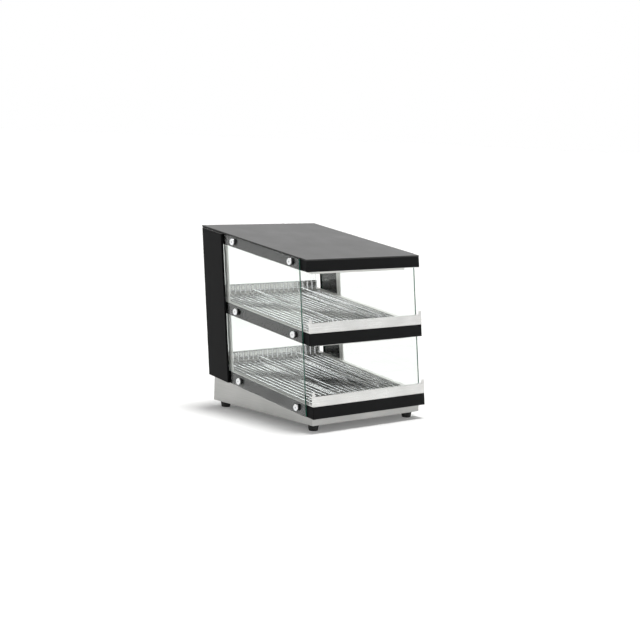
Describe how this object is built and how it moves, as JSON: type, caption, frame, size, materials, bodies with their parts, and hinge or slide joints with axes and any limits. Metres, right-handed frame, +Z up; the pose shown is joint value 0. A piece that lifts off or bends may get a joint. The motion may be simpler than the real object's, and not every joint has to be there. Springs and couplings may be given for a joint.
{
  "type": "heated pass-through cabinet",
  "caption": "Leaning two-shelf heated display cabinet with sloped wire-rack shelves, side glass held by studs, rear glass flaps and a stainless wedge base.",
  "frame": {"origin": "on the counter under the middle of the cabinet's box", "axes": "+X to the right of someone facing the open front, +Y towards the rear doors, +Z up"},
  "size_m": [0.4872, 0.5533, 0.5625],
  "materials": {
    "black_paint": "satin black powder coat",
    "lid_paint": "satin black enamel that reflects the ceiling as grey",
    "stainless": "brushed stainless steel",
    "bright_steel": "bright rolled stainless steel",
    "chrome": "bright chrome plate",
    "clear_glass": "clear toughened glass with green edges",
    "rubber": "moulded black rubber",
    "black_plastic": "moulded black nylon",
    "amber_lens": "translucent amber lens",
    "heater_mat": "silicone heater mat",
    "wool_board": "mineral wool board",
    "light_body": "extruded aluminium strip with a recessed lens",
    "zinc_screw": "zinc plated screws"
  },
  "bodies": {
    "cabinet": {"base_shell": "stainless", "base_rear_wall": "stainless", "base_plate": "stainless", "control_panel": "black_paint", "foot_front_left": "rubber", "foot_front_right": "rubber", "foot_rear_left": "rubber", "foot_rear_right": "rubber", "foot_screws": "zinc_screw", "thermostat_lower": "black_plastic", "thermostat_upper": "black_plastic", "power_switch_frame": "black_plastic", "light_switch_frame": "black_plastic", "pilot_lamps": "amber_lens", "cable_gland": "black_plastic", "terminal_block": "black_plastic", "roof_band": "black_paint", "roof_fascia": "black_paint", "roof_ceiling": "bright_steel", "roof_lid": "lid_paint", "lower_tray": "black_paint", "lower_fascia": "black_paint", "lower_deck": "bright_steel", "lower_heater": "heater_mat", "lower_insulation": "wool_board", "lower_lip": "bright_steel", "lower_light": "light_body", "lower_door_brackets": "stainless", "upper_tray": "black_paint", "upper_fascia": "black_paint", "upper_deck": "bright_steel", "upper_heater": "heater_mat", "upper_insulation": "wool_board", "upper_lip": "bright_steel", "upper_light": "light_body", "upper_door_brackets": "stainless", "left_glass": "clear_glass", "left_studs": "chrome", "left_column": "black_paint", "left_posts": "bright_steel", "right_glass": "clear_glass", "right_studs": "chrome", "right_column": "black_paint", "right_posts": "bright_steel"},
    "lower_rack_body": {"lower_rack": "chrome"},
    "lower_divider_left_body": {"lower_divider_left": "chrome"},
    "lower_divider_right_body": {"lower_divider_right": "chrome"},
    "lower_door": {"lower_door_rail": "stainless", "lower_door_glass": "clear_glass", "lower_door_handle": "stainless"},
    "lower_knob": {"knob_lower": "black_plastic"},
    "upper_rack_body": {"upper_rack": "chrome"},
    "upper_divider_left_body": {"upper_divider_left": "chrome"},
    "upper_divider_right_body": {"upper_divider_right": "chrome"},
    "upper_door": {"upper_door_rail": "stainless", "upper_door_glass": "clear_glass", "upper_door_handle": "stainless"},
    "upper_knob": {"knob_upper": "black_plastic"},
    "power_switch": {"power_rocker": "black_plastic"},
    "light_switch": {"light_rocker": "black_plastic"}
  },
  "joints": [
    {"name": "lower_thermostat_turn", "type": "hinge", "parent": "cabinet", "child": "lower_knob", "pos_m": [0.066, 0.21361, 0.043], "axis": [0, 1, 0], "range_deg": [0, 270]},
    {"name": "upper_thermostat_turn", "type": "hinge", "parent": "cabinet", "child": "upper_knob", "pos_m": [0.128, 0.21361, 0.043], "axis": [0, 1, 0], "range_deg": [0, 270]},
    {"name": "power_rocker_tilt", "type": "hinge", "parent": "cabinet", "child": "power_switch", "pos_m": [-0.022, 0.20701, 0.043], "axis": [1, 0, 0], "range_deg": [0, 24]},
    {"name": "light_rocker_tilt", "type": "hinge", "parent": "cabinet", "child": "light_switch", "pos_m": [-0.048, 0.20701, 0.043], "axis": [1, 0, 0], "range_deg": [0, 24]},
    {"name": "lower_door_hinge", "type": "hinge", "parent": "cabinet", "child": "lower_door", "pos_m": [0, 0.23376, 0.30578], "axis": [1, 0, 0], "range_deg": [0, 95]},
    {"name": "lower_rack_lift", "type": "slide", "parent": "cabinet", "child": "lower_rack_body", "axis": [0, -0.1253, 0.9921], "range_m": [0, 0.04]},
    {"name": "lower_divider_left_slide", "type": "slide", "parent": "lower_rack_body", "child": "lower_divider_left_body", "axis": [1, 0, 0], "range_m": [-0.06, 0.06]},
    {"name": "lower_divider_right_slide", "type": "slide", "parent": "lower_rack_body", "child": "lower_divider_right_body", "axis": [1, 0, 0], "range_m": [-0.06, 0.06]},
    {"name": "upper_door_hinge", "type": "hinge", "parent": "cabinet", "child": "upper_door", "pos_m": [0, 0.26033, 0.51611], "axis": [1, 0, 0], "range_deg": [0, 95]},
    {"name": "upper_rack_lift", "type": "slide", "parent": "cabinet", "child": "upper_rack_body", "axis": [0, -0.1253, 0.9921], "range_m": [0, 0.04]},
    {"name": "upper_divider_left_slide", "type": "slide", "parent": "upper_rack_body", "child": "upper_divider_left_body", "axis": [1, 0, 0], "range_m": [-0.06, 0.06]},
    {"name": "upper_divider_right_slide", "type": "slide", "parent": "upper_rack_body", "child": "upper_divider_right_body", "axis": [1, 0, 0], "range_m": [-0.06, 0.06]}
  ]
}
